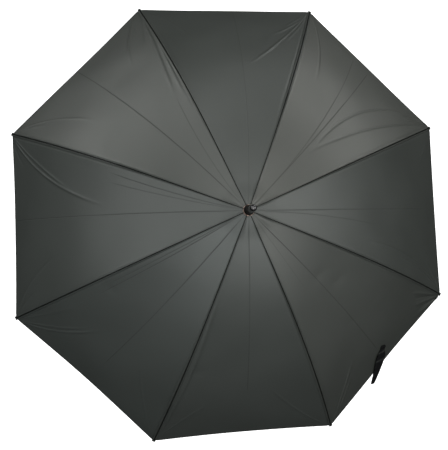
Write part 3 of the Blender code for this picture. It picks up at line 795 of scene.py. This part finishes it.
def half_panel(rib, side, outer, material):
    """The cloth from a rib to the middle of the gore beside it, inside or outside the flex point."""
    number = rib if side > 0 else (rib - 2) % RIBS + 1
    rows = OUTER_ROWS if outer else INNER_ROWS
    share = 0.5 * (np.arange(COLUMNS + 1) / COLUMNS) ** 1.15
    across_row = share if side > 0 else 1 - share
    level = np.arange(rows + 1) / rows
    across = np.repeat(across_row[None, :], rows + 1, axis=0)
    if outer:
        end = hem_radius(number, across_row)[None, :]
        radius = FLEX_RADIUS + (end - FLEX_RADIUS) * level[:, None]
    else:
        radius = CENTRE_HOLE + (FLEX_RADIUS - CENTRE_HOLE) * level[:, None] ** 1.2 + 0 * across
    points = cloth_point(number, across, radius)
    normals = cloth_normal(number, across, radius)
    if outer:
        edge, up = points[-1], normals[-1]
        out = edge - cloth_point(number, across_row, radius[-1] - 1e-3)
        out /= np.linalg.norm(out, axis=-1, keepdims=True)
        turn = [edge + reach * out + lift * up for reach, lift in HEM_TURN]
        points = np.concatenate([points, np.array(turn)])
        normals = np.concatenate([normals, np.zeros((len(turn),) + edge.shape)])
        across = np.concatenate([across, across[-len(turn):]])
        radius = np.concatenate([radius, radius[-1:] + np.array([[reach] for reach, _ in HEM_TURN])])
        rows += len(turn)
    faces = grid_faces(rows, COLUMNS)
    if side > 0:
        faces = [face[::-1] for face in faces]
    chord = 2 * radius * sin(HALF_PITCH)
    uv = np.stack([across * chord, radius * CLOTH_STRETCH], axis=-1).reshape(-1, 2)
    name = f"canopy_{number}_{'start' if side > 0 else 'end'}_{'outer' if outer else 'inner'}"
    obj = add_mesh(name, points.reshape(-1, 3), faces, [material], uv)
    store(obj.data, "across", across)
    store(obj.data, "radius", radius)
    store(obj.data, "from_rib", np.minimum(across, 1 - across) * chord)
    store(obj.data, "from_hem", hem_radius(number, across) - radius)
    obj.data.normals_split_custom_set_from_vertices(normals.reshape(-1, 3).tolist())

    start, end = (FLEX_RADIUS, HEM_RADIUS) if outer else (HINGE_RADIUS, FLEX_RADIUS)
    ends, along, round_shaft, up = chord_frame(rib, start, end)
    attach(obj, f"rib_{rib}_end" if outer else f"rib_{rib}")
    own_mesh(obj)
    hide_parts(f"gore_{number}")
    length = float((end - start) / cos(atan((rib_drop(end) - rib_drop(start)) / (end - start))))


# Across a seam strip: (sideways, lift) over the cloth, then back underneath as the seam allowance
SEAM_TOP = ((-0.0027, 0.0001), (-0.0020, 0.0006), (-0.0015, 0.0004), (0.0, 0.0), (0.0015, 0.0004),
            (0.0020, 0.0006), (0.0027, 0.0001))
SEAM_UNDER = ((0.0040, -0.0005), (0.0, -0.0009), (-0.0040, -0.0005))
SEAM_ROWS = 60


def seam(rib, outer, cloth, thread):
    """The sewn seam over a rib: two welts with the stitched valley between them."""
    start, end = (FLEX_RADIUS, HEM_RADIUS + 0.0012) if outer else (CENTRE_HOLE, FLEX_RADIUS + 0.001)
    bearing = azimuth(rib)
    section = SEAM_TOP + SEAM_UNDER
    points, uv = [], []
    for row in range(SEAM_ROWS + 1):
        radius = start + (end - start) * row / SEAM_ROWS
        slope = float(rib_slope(radius))
        base = float(canopy_lift(radius)) + FABRIC / 2 + 0.0004
        narrow = 0.28 + 0.72 * float(smooth(radius, 0.04, 0.38))
        for beside, lift in section:
            out = radius + (base + lift) * sin(slope)
            up = NOTCH_Z - float(rib_drop(radius)) + (base + lift) * cos(slope)
            beside = beside * narrow
            x = out * cos(bearing) - beside * sin(bearing)
            y = out * sin(bearing) + beside * cos(bearing)
            points.append((x, y, up))
            uv.append((beside, radius * CLOTH_STRETCH))
    width = len(section)
    faces = [face[::-1] for face in grid_faces(SEAM_ROWS, width, closed=True)]
    last = SEAM_ROWS * width
    faces += [tuple(range(width)), tuple(range(last + width - 1, last - 1, -1))]
    name = f"seam_{rib}_{'outer' if outer else 'inner'}"
    obj = add_mesh(name, points, faces, [cloth, thread], uv, sharp=70)
    # The valley faces take the near-black seam material: dark thread with painted shade in the groove
    valley = (2, 3)
    for index in range(SEAM_ROWS * width):
        if index % width in valley:
            obj.data.polygons[index].material_index = 1
    far = np.full(len(points), 0.1)
    for label, values in (("across", far * 0), ("radius", far), ("from_rib", far), ("from_hem", far)):
        store(obj.data, label, values)
    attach(obj, f"rib_{rib}_end" if outer else f"rib_{rib}")


def add_canopy():
    """Every gore in four sections, and the seam over every rib in two."""
    cloth = {number: canopy_fabric(number) for number in range(1, RIBS + 1)}
    # Near-black seam material: dark thread with painted shade
    thread = seam_thread_and_shade()
    for rib in range(1, RIBS + 1):
        for outer in (False, True):
            half_panel(rib, 1, outer, cloth[rib])
            half_panel(rib, -1, outer, cloth[(rib - 2) % RIBS + 1])
            seam(rib, outer, cloth[rib], thread)


# ---------------------------------------------------------------- ferrule and crown

DOME_STEPS = 16


def add_crown(copper, sleeve, gloss):
    """The open cap, the ferrule sleeve and its tip."""
    base = CROWN_Z
    outline = [(SHAFT_BORE, base), (0.0099, base), (0.0104, base + 0.0012), (0.0101, base + 0.0034)]
    outline += [(0.0096, base + 0.0035), (0.0092, base + 0.0023), (SHAFT_BORE, base + 0.0022)]
    ring = turned("open_cap", rounded(outline, 0.0005), [copper], 96)
    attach(ring, "stick")
    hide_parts("crown_ring")

    low = base + 0.0025
    outline = [(0, low), (0.0088, low), (0.0088, low + 0.0052), (0.0086, low + 0.0062)]
    outline += [(0.0081, low + 0.0072), (0.0080, low + 0.0100), (0.0077, low + 0.0104)]
    outline += [(0.0077, low + 0.0114), (0.0080, low + 0.0119), (0.0074, low + 0.0260), (0, low + 0.0260)]
    body = turned("ferrule_sleeve", rounded(outline, 0.0006), [sleeve], 96)
    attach(body, "stick")
    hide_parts("ferrule")

    low += 0.0263
    outline = [(0, low), (0.0066, low), (0.0068, low + 0.002), (0.0065, low + 0.012)]
    outline += [(0.0062, low + 0.0225)]
    for step in range(1, DOME_STEPS + 1):
        bend = 0.5 * pi * step / DOME_STEPS
        outline.append((0.0062 * cos(bend) ** 0.8, low + 0.0225 + 0.0055 * sin(bend)))
    outline[-1] = (0, low + 0.0280)
    tip = turned("ferrule_end", outline, [gloss], 96)
    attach(tip, "stick")
    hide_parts("ferrule_tip")


# ---------------------------------------------------------------- handle

def add_handle(wood, nickel):
    """The bent J grip, thinner towards its end, with its collar and its end button."""
    sides, straight, bends = 48, 26, 90
    centre = Vector((CROOK_RADIUS, 0, GRIP_BOTTOM))
    path = []
    for step in range(straight):
        path.append((Vector((0, 0, GRIP_TOP + (GRIP_BOTTOM - GRIP_TOP) * step / straight)), 0.0))
    for step in range(bends + 1):
        bend = CROOK_BEND * step / bends
        path.append((centre + CROOK_RADIUS * Vector((-cos(bend), 0, -sin(bend))), bend))
    points, uv = [], []
    length = 0.0
    for index, (middle, bend) in enumerate(path):
        if index:
            length += (middle - path[index - 1][0]).length
        share = index / (len(path) - 1)
        radius = GRIP_RADIUS + (CROOK_END_RADIUS - GRIP_RADIUS) * share**1.5
        radius -= 0.0008 * (1 - float(smooth(length, 0.0, 0.0025)))
        across = Vector((cos(bend), 0, sin(bend)))
        for side in range(sides):
            turn = 2 * pi * side / sides
            points.append(middle + radius * (cos(turn) * across + Vector((0, sin(turn), 0))))
            uv.append((radius * turn, length))
    rows = len(path) - 1
    faces = grid_faces(rows, sides, closed=True)
    faces += [tuple(range(sides - 1, -1, -1)), tuple(range(rows * sides, (rows + 1) * sides))]
    grip = add_mesh("crook_grip", points, faces, [wood], uv, sharp=50)
    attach(grip, "stick")
    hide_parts("handle")

    base = GRIP_TOP + GAP
    edge = GRIP_RADIUS + 0.0006
    outline = [(SHAFT_BORE, base), (edge, base), (edge, base + 0.0012), (edge - 0.0005, base + 0.0017)]
    outline += [(edge - 0.0005, base + 0.0060), (edge, base + 0.0065), (edge, base + 0.0077)]
    outline += [(edge - 0.0014, base + 0.0102), (0.0081, base + COLLAR_HEIGHT)]
    outline += [(SHAFT_BORE, base + COLLAR_HEIGHT)]
    collar = turned("grip_collar", rounded(outline, 0.0005), [nickel], 96)
    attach(collar, "stick")
    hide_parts("handle_collar")

    edge = CROOK_END_RADIUS
    dome = [(0, 0), (edge - 0.0003, 0), (edge, 0.0010), (edge, 0.0026), (0.94 * edge, 0.0046)]
    dome += [(0.78 * edge, 0.0062), (0.50 * edge, 0.0071), (0.2 * edge, 0.0075), (0, 0.0075)]
    button = turned("crook_button", dome, [nickel], 72)
    end = centre + CROOK_RADIUS * Vector((-cos(CROOK_BEND), 0, -sin(CROOK_BEND)))
    away = Vector((sin(CROOK_BEND), 0, -cos(CROOK_BEND)))
    facing = Vector((0, 0, 1)).rotation_difference(away).to_matrix().to_4x4()
    button.data.transform(Matrix.Translation(end + GAP * away) @ facing)
    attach(button, "stick")
    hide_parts("handle_end_cap")


# ---------------------------------------------------------------- tie strap

# Width of the strap along its length, from the gathered root to the narrow free end
STRAP_WIDTHS = ((0.0, 0.010), (0.06, 0.014), (0.12, 0.013), (0.22, 0.024), (0.32, 0.028), (0.46, 0.027),
                (0.75, 0.021), (0.93, 0.016), (1.0, 0.012))
# Painted highlights where the gathered webbing folds over itself and its edge catches the light: share of
# length, half width
STRAP_FOLD_HIGHLIGHTS = ((0.16, 0.035), (0.385, 0.030))
STRAP_ROWS, STRAP_COLUMNS = 72, 16


def strap_station(share, sideways, lift):
    """A point over the strap's gore: share 0 to 1 from its sewn root to its free end."""
    across = STRAP_ROOT[0] + (STRAP_END[0] - STRAP_ROOT[0]) * share
    radius = STRAP_ROOT[1] + (STRAP_END[1] - STRAP_ROOT[1]) * share
    chord = 2 * radius * sin(HALF_PITCH)
    run = Vector(((STRAP_END[0] - STRAP_ROOT[0]) * chord, STRAP_END[1] - STRAP_ROOT[1])).normalized()
    across += sideways * run.y / chord
    radius -= sideways * run.x
    return gore_point(STRAP_GORE, np.float64(across), np.float64(radius), lift + FABRIC / 2)


def add_strap(webbing):
    """A gathered band of webbing, crumpled near its root."""
    tops, unders, uv, light = [], [], [], []
    shares, widths = zip(*STRAP_WIDTHS)
    length = 0.105
    for row in range(STRAP_ROWS + 1):
        share = row / STRAP_ROWS
        width = float(np.interp(share, shares, widths))
        gather = float(smooth(share, 0.42, 0.05))
        bands = 0.0009 * sin(2 * pi * share / 0.125) * gather
        for column in range(STRAP_COLUMNS + 1):
            beside = column / STRAP_COLUMNS - 0.5
            pleat = 0.0007 * gather * sin(2 * pi * 2.5 * beside + 9 * share)
            curl = 0.0008 * (2 * beside) ** 2 * (1 - gather)
            crown = 0.0012 * (1 - (2 * beside) ** 2)
            lift = 0.0014 + bands + pleat + curl + crown
            sideways = beside * width
            tops.append(strap_station(share, sideways, lift))
            unders.append(strap_station(share, sideways * 0.97, max(0.0003, lift - 0.0012)))
            uv.append((sideways, share * length))
            # Strength of the painted highlight on the folds
            skew = share + 0.05 * beside
            light.append(max(max(0.0, 1 - abs(skew - place) / reach) for place, reach in STRAP_FOLD_HIGHLIGHTS))
    width = STRAP_COLUMNS + 1
    offset = len(tops)
    faces = grid_faces(STRAP_ROWS, STRAP_COLUMNS)
    faces += [tuple(index + offset for index in face[::-1]) for face in faces]
    for row in range(STRAP_ROWS):
        left, right = row * width, row * width + width - 1
        faces.append((left, left + width, left + width + offset, left + offset))
        faces.append((right + width, right, right + offset, right + width + offset))
    last = STRAP_ROWS * width
    for column in range(STRAP_COLUMNS):
        faces.append((column + 1, column, column + offset, column + 1 + offset))
        faces.append((last + column, last + column + 1, last + column + 1 + offset, last + column + offset))
    strap = add_mesh("tie_strap_band", tops + unders, faces, [webbing], uv + uv)
    store(strap.data, "strap_fold_highlight", light + light)
    clean(strap.data)
    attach(strap, "strap")
    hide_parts("tie_strap", "strap_pad")


# ---------------------------------------------------------------- CAD nodes with better finishes

def finish_nodes(materials):
    """Assigns a material to each CAD node that stays, and rounds the edges of the small parts."""
    by_prefix = {
        "shaft": "enamel", "notch_washer": "plastic", "notch_wire": "nickel", "notch_pin": "nickel",
        "notch": "plastic", "runner_wire": "nickel", "runner": "plastic", "stop_pin": "nickel",
        "top_spring": "nickel", "bottom_spring": "nickel", "stretcher": "lacquer",
    }
    for name, obj in nodes.items():
        found = next((kind for prefix, kind in by_prefix.items() if name.startswith(prefix)), None)
        if name.startswith("rib_"):
            found = {"inner": "lacquer", "outer": "fibre", "tip": "plastic"}[name.rsplit("_", 1)[1]]
        if found is None:
            continue
        obj.data.materials.clear()
        obj.data.materials.append(materials[found])
        if found in ("plastic", "nickel") and not name.startswith("rib_"):
            bevel = obj.modifiers.new("soft_edges", "BEVEL")
            bevel.width = 0.00015
            bevel.segments = 2
            bevel.limit_method = "ANGLE"
            bevel.angle_limit = radians(40)
            bevel.harden_normals = True


add_camera()
add_world()
add_lights()
add_floor()
add_canopy()
finishes = {
    "enamel": enamel("black_enamel", (0.012, 0.012, 0.013), 0.28, 0.0),
    "lacquer": enamel("rib_lacquer", (0.03, 0.03, 0.033), 0.34, 0.6),
    "fibre": fibre_rod(),
    "plastic": moulded("black_moulding", (0.016, 0.016, 0.017), 0.42),
    "nickel": plated("nickel_plate", (0.56, 0.55, 0.53), 0.24),
}
finish_nodes(finishes)
add_crown(
    plated("warm_nickel", (0.70, 0.52, 0.44), 0.24),
    moulded("ferrule_sleeve_black", (0.004, 0.003, 0.0028), 0.42, sheen=0.12),
    moulded("ferrule_gloss", (0.003, 0.003, 0.0034), 0.10, strength=0.03, sheen=0.8),
)
add_handle(lacquered_wood(), finishes["nickel"])
add_strap(strap_webbing())
bpy.context.scene.view_settings.view_transform = "Standard"
